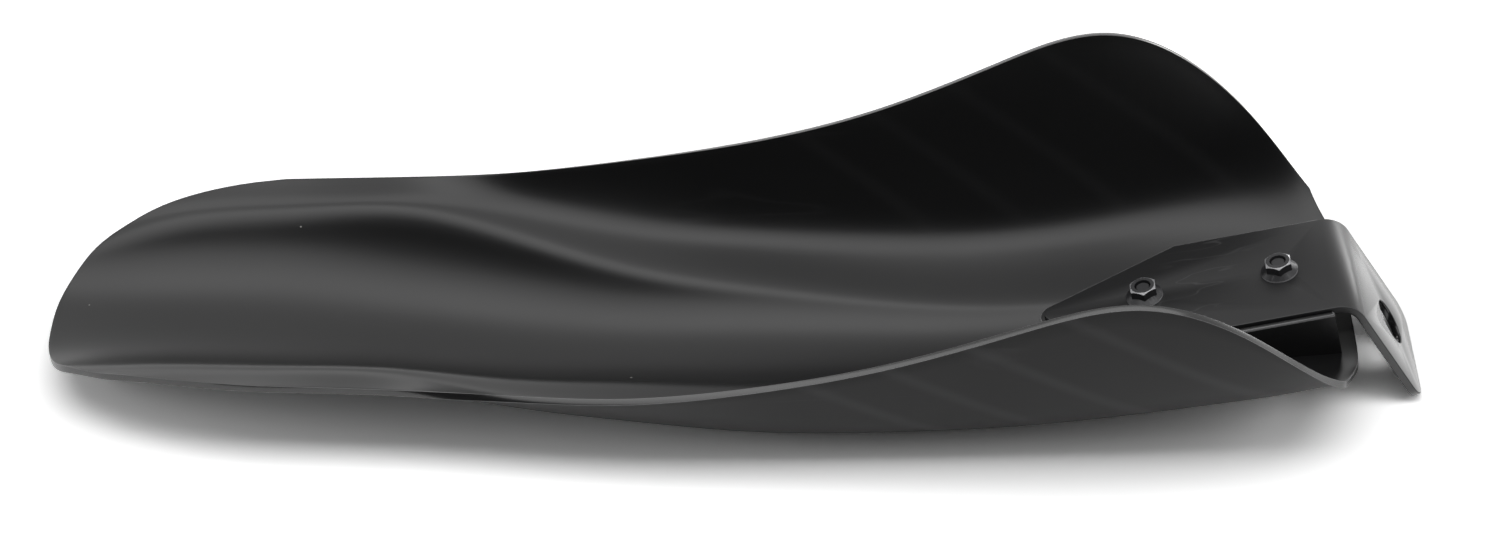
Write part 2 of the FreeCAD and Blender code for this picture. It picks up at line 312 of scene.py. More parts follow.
class Effects:
    """Node groups that more than one finish uses, each built once."""

    made: Dict[str, Tree] = {}
    scuff_width: float = 0.012
    scuff_patches: Span = (0.56, 0.70)
    sink_places: Tuple[float, ...] = (0.0862, 0.1215, 0.1620, 0.2095)
    sink_half_width: float = 0.007
    sink_slant: float = 1.5
    sink_walls: Span = (0.046, 0.056)

    @classmethod
    def group(cls, name: str, inputs: Dict[str, float], outputs: Sequence[str],
              fill: Callable[[Nodes, Dict[str, Socket]], Dict[str, Socket]]) -> Tree:
        """Build a group with a Vector input, number inputs and number outputs.

        Args:
            name: Name of the group.
            inputs: Number inputs and their defaults.
            outputs: Names of the number outputs.
            fill: Makes the inner nodes between the sockets of the inputs and of the outputs.

        Returns:
            The node tree of the group.
        """
        if name in cls.made:
            return cls.made[name]
        tree = bpy.data.node_groups.new(name, "ShaderNodeTree")
        tree.interface.new_socket("Vector", in_out="INPUT", socket_type="NodeSocketVector")
        for key, value in inputs.items():
            socket = tree.interface.new_socket(key, in_out="INPUT", socket_type="NodeSocketFloat")
            socket.default_value = value
        for key in outputs:
            tree.interface.new_socket(key, in_out="OUTPUT", socket_type="NodeSocketFloat")
        nodes = Nodes(tree)
        sockets = nodes.add("NodeGroupInput").outputs
        nodes.add("NodeGroupOutput", fill(nodes, {key: sockets[key] for key in ("Vector", *inputs)}))
        cls.made[name] = tree
        return tree

    @classmethod
    def grain(cls) -> Tree:
        """Fine moulded or sprayed grain: a height, and a slow drift of the gloss."""

        def fill(nodes: Nodes, given: Dict[str, Socket]) -> Dict[str, Socket]:
            """Two noises, fine for the height and coarse for the drift."""
            fine = nodes.add("ShaderNodeTexNoise", {
                "Vector": given["Vector"], "Scale": given["Fine scale"],
                "Detail": 3.0, "Roughness": 0.6})
            slow = nodes.add("ShaderNodeTexNoise", {
                "Vector": given["Vector"], "Scale": given["Drift scale"],
                "Detail": 2.0})
            drift = nodes.math("SUBTRACT", slow.outputs[0], 0.5)
            return {"Height": fine.outputs[0], "Drift": drift}

        inputs = {"Fine scale": 2600.0, "Drift scale": 18.0}
        return cls.group("fine_grain", inputs, ("Height", "Drift"), fill)

    @classmethod
    def dust(cls) -> Tree:
        """Scattered specks of dust as a mask."""

        def fill(nodes: Nodes, given: Dict[str, Socket]) -> Dict[str, Socket]:
            """Round specks in some of the cells of a scattered grid."""
            cells = nodes.add("ShaderNodeTexVoronoi", {
                "Vector": given["Vector"], "Scale": given["Scale"]}, feature="F1")
            near = nodes.math("LESS_THAN", cells.outputs["Distance"], given["Size"])
            split = nodes.add("ShaderNodeSeparateColor", {"Color": cells.outputs["Color"]})
            chosen = nodes.math("LESS_THAN", split.outputs[0], given["Share"])
            return {"Mask": nodes.math("MULTIPLY", near, chosen)}

        inputs = {"Scale": 160.0, "Size": 0.06, "Share": 0.05}
        return cls.group("dust_specks", inputs, ("Mask",), fill)

    @classmethod
    def scuffs(cls) -> Tree:
        """Thin rubbed lines from handling as a mask."""

        def fill(nodes: Nodes, given: Dict[str, Socket]) -> Dict[str, Socket]:
            """A stretched, turned noise whose crests make broken lines."""
            turned = nodes.add("ShaderNodeMapping", {
                "Vector": given["Vector"], "Rotation": (0.35, 0.5, 0.62),
                "Scale": (0.10, 1.0, 1.0)})
            lines = nodes.add("ShaderNodeTexNoise", {
                "Vector": turned.outputs[0], "Scale": given["Scale"], "Detail": 2.0})
            ridge = nodes.math("ABSOLUTE", nodes.math("SUBTRACT", lines.outputs[0], 0.5))
            thin = nodes.math("SUBTRACT", 1.0, nodes.ramp(ridge, 0.0, cls.scuff_width))
            patch = nodes.add("ShaderNodeTexNoise", {
                "Vector": given["Vector"], "Scale": 22.0, "Detail": 1.0})
            where = nodes.ramp(patch.outputs[0], *cls.scuff_patches)
            both = nodes.math("MULTIPLY", thin, where)
            return {"Mask": nodes.math("MULTIPLY", both, given["Amount"])}

        return cls.group("handling_scuffs", {"Scale": 60.0, "Amount": 0.5}, ("Mask",), fill)

    @classmethod
    def sink_marks(cls) -> Tree:
        """Faint slanting bands that the mould left on the raised walls, as a mask."""

        def fill(nodes: Nodes, given: Dict[str, Socket]) -> Dict[str, Socket]:
            """Soft bands at a few places along a slanting direction, on the walls alone."""
            split = nodes.add("ShaderNodeSeparateXYZ", {0: given["Vector"]})
            slant = nodes.math("MULTIPLY_ADD", split.outputs["Z"], cls.sink_slant, split.outputs["X"])
            walls = nodes.ramp(nodes.math("ABSOLUTE", split.outputs["Y"]), *cls.sink_walls)
            bands: Socket | float = 0.0
            for place in cls.sink_places:
                off = nodes.math("ABSOLUTE", nodes.math("SUBTRACT", slant, place))
                bands = nodes.math("MAXIMUM", nodes.ramp(off, cls.sink_half_width, 0.0), bands)
            bands = nodes.math("MULTIPLY", walls, bands)
            return {"Mask": nodes.math("MULTIPLY", bands, given["Amount"])}

        return cls.group("mould_sink_marks", {"Amount": 0.5}, ("Mask",), fill)


@dataclass(frozen=True)
class BlackFinish:
    """A dark coat or moulding with grain, drifting gloss, scuffs and dust."""

    name: str
    base: Colour
    rubbed: Colour
    roughness: float
    bump: float
    scuff_scale: float
    scuff_amount: float = 0.5
    ior: float = 1.60
    roughness_drift: float = 0.10
    scuff_roughness: float = 0.12
    fine_scale: float = 2400.0
    grain_depth: float = 0.0001
    dust_scale: float = 120.0
    dust_size: float = 0.05
    dust_share: float = 0.05
    dust_colour: Colour = (0.30, 0.29, 0.28)
    metallic: float = 0.0
    marks: float = 0.0
    polish: float = 0.0
    polish_coat: float = 0.8
    polish_coat_roughness: float = 0.2
    polish_span: Span = (0.0, 1.0)

    def material(self) -> bpy.types.Material:
        """Build the material once and return it."""
        found = bpy.data.materials.get(self.name)
        if found is not None:
            return found
        made = bpy.data.materials.new(self.name)
        nodes = Nodes.fresh(made)
        place = nodes.add("ShaderNodeTexCoord").outputs["Object"]
        grain = nodes.add("ShaderNodeGroup", {"Vector": place, "Fine scale": self.fine_scale},
                          node_tree=Effects.grain())
        dust = nodes.add("ShaderNodeGroup", {
            "Vector": place, "Scale": self.dust_scale, "Size": self.dust_size, "Share": self.dust_share,
        }, node_tree=Effects.dust())
        scuffs = nodes.add("ShaderNodeGroup", {
            "Vector": place, "Scale": self.scuff_scale, "Amount": self.scuff_amount,
        }, node_tree=Effects.scuffs())
        colour: Socket | Colour = self.base
        if self.marks:
            marks = nodes.add("ShaderNodeGroup", {"Vector": place, "Amount": self.marks},
                              node_tree=Effects.sink_marks())
            colour = nodes.mix(marks.outputs["Mask"], colour, self.rubbed)
        colour = nodes.mix(scuffs.outputs["Mask"], colour, self.rubbed)
        colour = nodes.mix(dust.outputs["Mask"], colour, self.dust_colour)
        drift = nodes.math("MULTIPLY", grain.outputs["Drift"], self.roughness_drift)
        rough = nodes.math("ADD", drift, self.roughness)
        coat: Socket | float = 0.0
        if self.polish:
            along = nodes.add("ShaderNodeSeparateXYZ", {0: place}).outputs["X"]
            polished = nodes.ramp(along, *self.polish_span)
            coat = nodes.math("MULTIPLY", polished, self.polish_coat)
            rough = nodes.math("SUBTRACT", rough, nodes.math("MULTIPLY", polished, self.polish))
        worn = nodes.math("MULTIPLY", scuffs.outputs["Mask"], self.scuff_roughness)
        rough = nodes.math("ADD", rough, worn, clamp=True)
        bump = nodes.add("ShaderNodeBump", {
            "Height": grain.outputs["Height"], "Strength": self.bump, "Distance": self.grain_depth})
        shader = nodes.add("ShaderNodeBsdfPrincipled", {
            "Base Color": colour, "Roughness": rough, "Normal": bump.outputs[0], "IOR": self.ior,
            "Metallic": self.metallic, "Coat Weight": coat,
            "Coat Roughness": self.polish_coat_roughness})
        nodes.add("ShaderNodeOutputMaterial", {"Surface": shader.outputs[0]})
        return made


SHELL_PLASTIC = BlackFinish(
    "shell_moulded_black", base=(0.0055, 0.0055, 0.0058), rubbed=(0.05, 0.05, 0.052),
    roughness=0.36, bump=0.05, scuff_scale=60.0, scuff_amount=0.06, marks=0.06)
OUTER_PLASTIC = replace(
    SHELL_PLASTIC, name="shell_outside_black", roughness=0.42, ior=1.31, bump=0.06,
    scuff_scale=40.0, scuff_amount=0.20, fine_scale=2000.0, marks=0.30)
# The rim faces' base is a little lighter than the rest of the same black plastic: painted highlight
RIM_PLASTIC = BlackFinish(
    "shell_rim_black", base=(0.012, 0.012, 0.0123), rubbed=(0.06, 0.06, 0.062),
    roughness=0.20, ior=1.75, bump=0.08, scuff_scale=90.0)
# Light grey on the eased rim and lip edges of the black shell: a painted highlight line
PAINTED_EDGE_HIGHLIGHT = replace(
    RIM_PLASTIC, name="shell_painted_edge_highlight", base=(0.14, 0.14, 0.142), rubbed=(0.20, 0.20, 0.202),
    roughness=0.26, ior=1.60, bump=0.05, dust_share=0.02)
BRACKET_PAINT = BlackFinish(
    "bracket_black_paint", base=(0.010, 0.010, 0.0105), rubbed=(0.07, 0.07, 0.072),
    roughness=0.50, ior=1.46, bump=0.10, scuff_scale=110.0, scuff_amount=0.4, fine_scale=1500.0,
    dust_scale=240.0, dust_size=0.07, dust_share=0.10, polish=0.34, polish_span=(0.190, 0.202))
BRACKET_EDGE = replace(
    BRACKET_PAINT, name="bracket_edge_paint", base=(0.014, 0.014, 0.015),
    rubbed=(0.16, 0.16, 0.165), roughness=0.34, ior=1.52, scuff_scale=200.0, scuff_amount=0.7,
    roughness_drift=0.15, dust_share=0.05, polish=0.0)
FASTENER_STEEL = BlackFinish(
    "fastener_black_steel", base=(0.030, 0.030, 0.032), rubbed=(0.22, 0.22, 0.23),
    roughness=0.30, bump=0.08, scuff_scale=260.0, roughness_drift=0.14, fine_scale=3000.0,
    dust_scale=400.0, dust_size=0.07, metallic=0.35)
# Light grey on the nuts' chamfer and flange edge: partly worn bare steel, partly a painted highlight
FASTENER_BARE_EDGE_AND_HIGHLIGHT = replace(
    FASTENER_STEEL, name="fastener_bare_edge_and_highlight", base=(0.34, 0.34, 0.35), rubbed=(0.50, 0.50, 0.51),
    roughness=0.24, bump=0.05, dust_share=0.02, metallic=0.25)
SHELL_FINISHES = (SHELL_PLASTIC, RIM_PLASTIC, OUTER_PLASTIC, PAINTED_EDGE_HIGHLIGHT)
SHELL_RIM, SHELL_OUTSIDE, SHELL_PAINTED_HIGHLIGHT = 1, 2, 3  # places in SHELL_FINISHES; the last is the light grey painted highlight on eased edges
BRACKET_FINISHES = (BRACKET_PAINT, BRACKET_EDGE)
NUT_FINISHES = (FASTENER_STEEL, FASTENER_BARE_EDGE_AND_HIGHLIGHT)
EDGE_WEAR_AND_HIGHLIGHT = 1  # place of the edge finish in BRACKET_FINISHES, worn paint, and in NUT_FINISHES, worn bare steel with a painted highlight
FASTENER_SMOOTH = 30.0  # degrees up to which the fasteners' edges are shaded smooth


def finish_slots(piece: Piece, finishes: Sequence[BlackFinish]) -> None:
    """Fill a piece's material slots; its faces keep their material numbers.

    Args:
        piece: The mesh.
        finishes: Finishes in the order of the mesh's material numbers.
    """
    slots = piece.data.materials
    for number, finish in enumerate(finishes):
        if number < len(slots):
            slots[number] = finish.material()
        else:
            slots.append(finish.material())


def dress(piece: Piece, slot: Slot, finishes: Sequence[BlackFinish], *nodes: str) -> None:
    """Give a piece its materials and its body, and hide the solids that it replaces.

    Args:
        piece: The finished mesh.
        slot: Material slot of the record; not used.
        finishes: Finishes in the order of the mesh's material numbers.
        *nodes: Names of the solids that the piece replaces.
    """
    finish_slots(piece, finishes)
    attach(piece, "root")
    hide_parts(*nodes)
    LOG.info("%s: %d faces", piece.name, len(piece.data.polygons))


@dataclass
class TongueFrame:
    """Local frame of the bracket: x towards the bend, z out of the tongue's top."""

    bend_x: float = 412.8
    bend_z: float = 41.0
    rise: float = math.radians(13.3)
    fall: float = math.radians(57.3)
    plate: float = 2.5
    half_width: float = 22.8
    length: float = 97.2
    straight: float = 53.4
    tip_radius: float = 4.0
    half_taper: float = math.radians(12.5)
    tip_steps: int = 10
    bolts_at: Span = (21.5, 64.8)
    bolt_hole: float = 5.5
    boss_top: float = 3.0
    nut_height: float = 4.5

    def matrix(self) -> Matrix:
        """Place of the local frame in the row frame."""
        origin = Vector((self.bend_x * MM, 0.0, self.bend_z * MM)) + ROW_SHIFT
        return Matrix.Translation(origin) @ Matrix.Rotation(-self.rise, 4, "Y")

    def outline(self, first: float, margin: float) -> List[Span]:
        """Plan of the tongue from a start line to its round tip, widened by a margin.

        Args:
            first: Distance of the start line from the bend.
            margin: How far the outline stands outside the tongue's sides.

        Returns:
            Corners in metres, anticlockwise seen from above.
        """
        half = self.half_width + margin
        straight = self.straight + margin * math.tan(self.half_taper)
        centre = self.length - self.tip_radius
        radius = self.tip_radius + margin
        reach = math.hypot(centre - straight, half)
        turn = math.atan2(half, centre - straight) - math.asin(radius / reach)
        corners = [(-first, -half), (-first, half), (-straight, half)]
        for i in range(self.tip_steps + 1):
            angle = math.pi / 2 - turn - (math.pi - 2 * turn) * i / self.tip_steps
            corners.append((-centre - radius * math.cos(angle), radius * math.sin(angle)))
        corners.append((-straight, -half))
        return [(x * MM, y * MM) for x, y in corners]


TONGUE = TongueFrame()


def fastener_pair(one: Callable[[float], Piece], name: str) -> Piece:
    """Model a fastener at both bolt holes and join the two to one piece on the tongue.

    Args:
        one: Models one fastener in the tongue's frame at a distance from the bend.
        name: Name of the joined piece.

    Returns:
        The joined piece in the row frame.
    """
    first, second = [one(at) for at in TONGUE.bolts_at]
    Bench.pick(first)
    second.select_set(True)
    bpy.ops.object.join()
    first.name = name
    Bench.place(first, TONGUE.matrix())
    Bench.smooth(first, FASTENER_SMOOTH)
    return first


@dataclass
class Shell:
    """Moulded trough with its tail and the hollow boss under the bracket."""

    wall: float = 2.2
    length: float = 415.4
    tail_length: float = 93.8
    tail_half_width: float = 54.5
    tail_squareness: float = 2.6
    end_corner: float = 8.0
    end_sharpness: float = 6.0
    rim_round: float = 0.26
    rim_angle: float = math.radians(50)
    smooth_angle: float = 28.0
    boss_margin: float = 2.0
    boss_wall: float = 2.4
    boss_gap: float = 7.0
    boss_reach: float = 30.0
    lip_height: float = 1.2
    lip_clearance: float = 0.2
    lip_round: float = 0.6
    block_from: float = 85.0  # along x in the row frame
    block_depth: float = 120.0
    hole_sides: int = 40
    rows: int = 270
    columns: int = 128
    halvings: int = 40  # in the search for the tail's outline
    degree: int = 3
    spans: int = 6
    stations: Tuple[Tuple[float, ...], ...] = (
        # x, keel z, crease y and z, foot y and z, rim y and z
        (0.0, 13.4, 28.0, 19.4, 39.4, 22.4, 51.6, 25.3),
        (34.0, 14.8, 35.0, 27.8, 43.4, 29.8, 52.0, 31.4),
        (74.0, 14.0, 38.0, 30.0, 45.4, 31.5, 53.4, 33.1),
        (114.0, 9.8, 38.8, 29.6, 47.0, 31.2, 55.0, 32.8),
        (149.0, 5.2, 35.0, 22.2, 51.0, 25.4, 57.5, 32.8),
        (184.0, 3.0, 28.4, 15.0, 50.6, 18.4, 61.4, 34.6),
        (224.0, 2.3, 24.6, 10.2, 52.2, 13.8, 63.3, 40.5),
        (264.0, 2.4, 20.6, 7.9, 52.8, 13.4, 65.3, 51.1),
        (304.0, 4.6, 17.0, 8.6, 53.4, 15.6, 68.4, 67.7),
        (338.0, 9.8, 15.0, 12.8, 54.6, 20.6, 70.5, 78.38),
        (374.0, 16.2, 13.0, 17.6, 54.2, 27.4, 67.4, 64.1),
        (394.0, 19.2, 12.0, 19.8, 48.6, 28.4, 60.3, 45.5),
        (410.0, 21.2, 12.0, 21.4, 38.0, 27.0, 47.4, 29.8),
        (418.0, 22.2, 12.0, 22.3, 33.4, 26.4, 39.0, 24.8),
    )
    splines: List[Callable[[np.ndarray], np.ndarray]] = field(default_factory=list)

    def __post_init__(self) -> None:
        """Make one smooth curve along the shell for each size of the section."""
        table = np.array(self.stations)
        self.splines = [self.natural_spline(table[:, 0], table[:, j]) for j in range(1, 8)]

    @staticmethod
    def natural_spline(xs: np.ndarray, values: np.ndarray) -> Callable[[np.ndarray], np.ndarray]:
        """Smooth function through values, straight at both ends.

        Args:
            xs: Rising places.
            values: Value at each place.

        Returns:
            A function of an array of places.
        """
        count = len(xs)
        step = np.diff(xs)
        slope = np.diff(values) / step
        system = np.eye(count)
        target = np.zeros(count)
        for i in range(1, count - 1):
            system[i, i - 1:i + 2] = step[i - 1], 2 * (step[i - 1] + step[i]), step[i]
            target[i] = 6 * (slope[i] - slope[i - 1])
        bend = np.linalg.solve(system, target)

        def at(x: np.ndarray) -> np.ndarray:
            """Value of the curve at places x."""
            i = np.clip(np.searchsorted(xs, x) - 1, 0, count - 2)
            before, after = xs[i + 1] - x, x - xs[i]
            cubic = (bend[i] * before ** 3 + bend[i + 1] * after ** 3) / (6 * step[i])
            left = values[i] / step[i] - bend[i] * step[i] / 6
            right = values[i + 1] / step[i] - bend[i + 1] * step[i] / 6
            return cubic + left * before + right * after

        return at

    def weights(self, share: np.ndarray) -> List[np.ndarray]:
        """Cubic spline weights of the nine section poles at shares from 0 to 1."""
        inner = [i / self.spans for i in range(self.spans + 1)]
        knots = np.array([0.0] * self.degree + inner + [1.0] * self.degree)
        pieces = len(knots) - 1
        t = np.minimum(share, 1 - 1e-9)  # the last span leaves out its end
        level = [((knots[i] <= t) & (t < knots[i + 1])).astype(float) for i in range(pieces)]
        for degree in range(1, self.degree + 1):
            raised = []
            for i in range(pieces - degree):
                total = np.zeros_like(t)
                if knots[i + degree] > knots[i]:
                    total += (t - knots[i]) / (knots[i + degree] - knots[i]) * level[i]
                if knots[i + degree + 1] > knots[i + 1]:
                    span = knots[i + degree + 1] - knots[i + 1]
                    total += (knots[i + degree + 1] - t) / span * level[i + 1]
                raised.append(total)
            level = raised
        return level

    def section(self, x: np.ndarray, share: np.ndarray) -> Tuple[np.ndarray, np.ndarray]:
        """Inner surface in millimetres.

        Args:
            x: Places along the shell from the tail tip.
            share: Places across, from -1 at one rim to 1 at the other.

        Returns:
            Arrays of y and z.
        """
        sizes = [spline(x) for spline in self.splines]
        keel, crease_y, crease_z, foot_y, foot_z, rim_y, rim_z = sizes
        depth = crease_z - keel
        reach = rim_y - foot_y
        poles = (
            (0 * keel, keel),
            (0.36 * crease_y, keel),
            (0.74 * crease_y, keel + 0.36 * depth),
            (0.94 * crease_y, keel + 0.86 * depth),
            (crease_y + 2.0, crease_z + 0.02 * depth),
            (0.36 * crease_y + 0.64 * foot_y, 0.7 * crease_z + 0.3 * foot_z),
            (foot_y, foot_z),
            (foot_y + 0.60 * reach, (foot_z + rim_z) / 2),
            (rim_y, rim_z),
        )
        weights = self.weights(np.abs(share))
        y = sum(weight * pole[0] for weight, pole in zip(weights, poles))
        z = sum(weight * pole[1] for weight, pole in zip(weights, poles))
        return np.sign(share) * y, z

    def tail_start(self, share: np.ndarray) -> np.ndarray:
        """Where the rounded tail outline meets the surface, for places across."""
        low, high = np.zeros_like(share), np.full_like(share, self.tail_length)
        for _ in range(self.halvings):
            middle = (low + high) / 2
            y, _z = self.section(middle, share)
            w = np.clip(np.abs(y) / self.tail_half_width, 0, 1)
            inside = middle > self.tail_length * (1 - np.sqrt(1 - w ** self.tail_squareness))
            low, high = np.where(inside, low, middle), np.where(inside, middle, high)
        return (low + high) / 2

    def sheet(self, name: str) -> Piece:
        """Grid on the inner surface, from tail to mount end and rim to rim."""
        Bench.clear()
        bpy.ops.mesh.primitive_grid_add(x_subdivisions=self.rows, y_subdivisions=self.columns,
                                        size=2)
        made = Bench.start(name)
        flat = np.empty(len(made.data.vertices) * 3)
        made.data.vertices.foreach_get("co", flat)
        flat = flat.reshape(-1, 3)
        along, share = (flat[:, 0] + 1) / 2, flat[:, 1]
        start = self.tail_start(share)
        end = self.length - self.end_corner * np.abs(share) ** self.end_sharpness
        x = start + along * (end - start)
        y, z = self.section(x, share)
        placed = np.stack([x, y, z], axis=1) * MM + np.array(ROW_SHIFT)
        made.data.vertices.foreach_set("co", placed.ravel())
        made.data.update()
        return made

    def underside(self) -> Piece:
        """Everything below the middle of the wall round the boss, as a closed block."""
        made = self.sheet("underside")
        Bench.apply(made, "DISPLACE", strength=-self.wall * MM / 2, mid_level=0.0)
        Bench.select(made, "FACE", lambda centre, normal: centre.x < self.block_from * MM)
        bpy.ops.mesh.delete(type="FACE")
        bpy.ops.mesh.select_all(action="SELECT")
        Bench.extrude(Vector((0, 0, -self.block_depth * MM)))
        Bench.outward(made)
        return made

    def boss(self) -> Piece:
        """Moulded boss under the tongue with a low lip round it, open to the wall."""
        outline = TONGUE.outline(self.boss_gap, self.boss_margin)
        top = (self.lip_height - TONGUE.plate) * MM
        made = Bench.prism("boss", outline, top, self.boss_reach * MM)
        finish_slots(made, SHELL_FINISHES)
        Bench.select(made, "EDGE", lambda a, b: min(a.z, b.z) > top - SLACK)
        # The lip's eased top edges take the painted highlight finish
        bpy.ops.mesh.bevel(offset=self.lip_round * MM, segments=3, affect="EDGES",
                           material=SHELL_PAINTED_HIGHLIGHT)
        seat = Bench.prism("seat", TONGUE.outline(0.0, self.lip_clearance), OVERCUT,
                           TONGUE.plate * MM + OVERCUT)
        Bench.combine(made, seat, Solver.CUT)
        Bench.place(made, TONGUE.matrix())
        Bench.combine(made, self.underside(), Solver.CUT)
        return made

    def build(self) -> None:
        """Thicken the sheet, ease its rim, add the boss and hollow it."""
        made = self.sheet("mudguard_shell_skin")
        finish_slots(made, SHELL_FINISHES)
        # The cut rim faces take the rim finish, whose slightly lighter base is painted highlight
        Bench.apply(made, "SOLIDIFY", thickness=self.wall * MM, offset=-1.0, use_even_offset=True,
                    material_offset=SHELL_OUTSIDE, material_offset_rim=SHELL_RIM)
        # The eased rim edges take the painted highlight finish
        Bench.apply(made, "BEVEL", width=self.rim_round * MM, segments=3, limit_method="ANGLE",
                    angle_limit=self.rim_angle, material=SHELL_PAINTED_HIGHLIGHT)
        Bench.combine(made, self.boss(), Solver.JOIN)
        inset = self.boss_wall - self.boss_margin
        top = -(TONGUE.plate + TONGUE.boss_top) * MM
        outline = TONGUE.outline(self.boss_gap + self.boss_wall, -inset)
        pocket = Bench.prism("pocket", outline, top, self.boss_reach * MM)
        Bench.place(pocket, TONGUE.matrix())
        Bench.combine(made, pocket, Solver.CUT)
        for at in TONGUE.bolts_at:
            Bench.drill(made, TONGUE.bolt_hole / 2 * MM, top - OVERCUT,
                        -TONGUE.plate * MM + OVERCUT, -at * MM, self.hole_sides, TONGUE.matrix())
        Bench.smooth(made, self.smooth_angle)
        dress(made, Slot.SHELL, SHELL_FINISHES, "mudguard_shell")


@dataclass
class Bracket:
    """Folded steel plate: tongue, bend and flange with one hole."""

    inner_radius: float = 6.5
    hole_diameter: float = 15.0
    hole_at: float = 30.0
    corner_radius: float = 7.0
    hole_sides: int = 72
    bolt_hole_sides: int = 48
    bend_steps: int = 14
    corner_steps: int = 8
    edge_round: float = 0.3
    edge_angle: float = math.radians(40)
    smooth_angle: float = 24.0

    def build(self) -> None:
        """Cut the tongue, spin the bend, extrude the flange and drill the holes."""
        plate = TONGUE.plate
        turn = TONGUE.rise + TONGUE.fall
        outer = self.inner_radius + plate
        run = outer * math.tan(turn / 2)
        made = Bench.prism("mounting_bracket_plate", TONGUE.outline(run, 0.0), 0.0, plate * MM)
        end = -run * MM - SLACK
        Bench.select(made, "FACE", lambda centre, normal: centre.x > end and normal.x > FACING)
        bpy.ops.mesh.spin(steps=self.bend_steps, angle=-turn,
                          center=(-run * MM, 0.0, -outer * MM), axis=(0.0, 1.0, 0.0))
        flange_length = (TONGUE.bend_z - plate * math.cos(TONGUE.fall)) / math.sin(TONGUE.fall)
        way = Vector((math.cos(turn), 0.0, -math.sin(turn)))
        Bench.extrude(way * (flange_length - run) * MM)
        reach = flange_length * MM - 10 * SLACK
        Bench.select(made, "EDGE", lambda a, b: min(a.dot(way), b.dot(way)) > reach
                     and abs(a.y - b.y) < SLACK)
        bpy.ops.mesh.bevel(offset=self.corner_radius * MM, segments=self.corner_steps,
                           affect="EDGES")
        Bench.outward(made)
        for at in TONGUE.bolts_at:
            Bench.drill(made, TONGUE.bolt_hole / 2 * MM, -2 * plate * MM, plate * MM,
                        -at * MM, self.bolt_hole_sides, Matrix.Identity(4))
        Bench.drill(made, self.hole_diameter / 2 * MM, -2 * plate * MM, 2 * plate * MM,
                    self.hole_at * MM, self.hole_sides, Matrix.Rotation(turn, 4, "Y"))
        finish_slots(made, BRACKET_FINISHES)
        Bench.apply(made, "BEVEL", width=self.edge_round * MM, segments=2, limit_method="ANGLE",
                    angle_limit=self.edge_angle, material=EDGE_WEAR_AND_HIGHLIGHT)
        Bench.place(made, TONGUE.matrix())
        Bench.smooth(made, self.smooth_angle)
        dress(made, Slot.BRACKET, BRACKET_FINISHES, "mounting_bracket")


@dataclass
class FlangeNuts:
    """Two hexagon nuts with a conical flange."""

    across_flats: float = 8.0
    flange_diameter: float = 11.8
    flange_edge: float = 0.6
    skirt: float = 1.2
    bore: float = 5.2
    cone_outside_corners: float = 4.0
    cone_inside_flats: float = 0.25
    cone_slope: float = 0.6
    cone_sides: int = 96
    flange_sides: int = 72
    bore_sides: int = 48
    edge_round: float = 0.14
    edge_angle: float = math.radians(25)
    bare_highlight_skirt: float = 0.3
    bare_highlight_top: float = 0.9
    bare_highlight_lean: Span = (0.3, 0.97)  # z of the chamfer's normals
    bare_highlight_from: float = 3.0

    def one(self, at: float) -> Piece:
        """Model one nut on the tongue.

        Args:
            at: Its distance from the bend.

        Returns:
            The nut in the tongue's local frame.
        """
        x, height = -at * MM, TONGUE.nut_height
        corner = self.across_flats / math.sqrt(3)
        made = Bench.cylinder("nut", corner * MM, 0.0, height * MM, x, HEXAGON)
        wide = corner + self.cone_outside_corners
        narrow = self.across_flats / 2 - self.cone_inside_flats
        fall = (wide - narrow) * self.cone_slope
        Bench.clear()
        bpy.ops.mesh.primitive_cone_add(
            vertices=self.cone_sides, radius1=wide * MM, radius2=narrow * MM, depth=fall * MM,
            location=(x, 0.0, (height - fall / 2) * MM))
        cone = Bench.start("chamfer")
        Bench.place(cone, Matrix.Identity(4))
        foot = (height - fall) * MM
        Bench.select(cone, "FACE", lambda centre, normal: normal.z < -FACING
                     and centre.z < foot + SLACK)
        Bench.extrude(Vector((0, 0, -foot - OVERCUT)))
        Bench.combine(made, cone, Solver.KEEP)
        flange = Bench.cylinder("flange", self.flange_diameter / 2 * MM, 0.0, self.flange_edge * MM,
                                x, self.flange_sides)
        Bench.select(flange, "FACE", lambda centre, normal: normal.z > FACING)
        Bench.extrude(Vector((0, 0, self.skirt * MM)))
        share = self.across_flats / self.flange_diameter
        bpy.ops.transform.resize(
            value=(share, share, 1.0),
            center_override=(x, 0.0, (self.flange_edge + self.skirt) * MM))
        Bench.combine(made, flange, Solver.JOIN)
        Bench.drill(made, self.bore / 2 * MM, -OVERCUT, height * MM + OVERCUT, x, self.bore_sides,
                    Matrix.Identity(4))
        finish_slots(made, NUT_FINISHES)
        # Eased edges take the light edge finish of worn bare steel with painted highlight
        Bench.apply(made, "BEVEL", width=self.edge_round * MM, segments=2, limit_method="ANGLE",
                    angle_limit=self.edge_angle, material=EDGE_WEAR_AND_HIGHLIGHT)
        self.bare_and_highlight_edges(made, x)
        return made

    def bare_and_highlight_edges(self, nut: Piece, x: float) -> None:
        """Give the chamfer of the hexagon and the flange's edge the light edge finish: worn bare steel
        with a painted highlight.

        Args:
            nut: The nut in the tongue's local frame.
            x: Place of its axis.
        """
        for face in nut.data.polygons:
            reach = math.hypot(face.center.x - x, face.center.y)
            leaning = self.bare_highlight_lean[0] < face.normal.z < self.bare_highlight_lean[1]
            chamfer = leaning and face.center.z > (TONGUE.nut_height - self.bare_highlight_top) * MM
            skirt_edge = reach > (self.flange_diameter / 2 - self.bare_highlight_skirt) * MM
            if skirt_edge or (chamfer and reach > self.bare_highlight_from * MM):
                face.material_index = EDGE_WEAR_AND_HIGHLIGHT

    def build(self) -> None:
        """Model both nuts and join them to one piece."""
        made = fastener_pair(self.one, "flange_nuts_pair")
        dress(made, Slot.FASTENER, NUT_FINISHES, "flange_nuts")


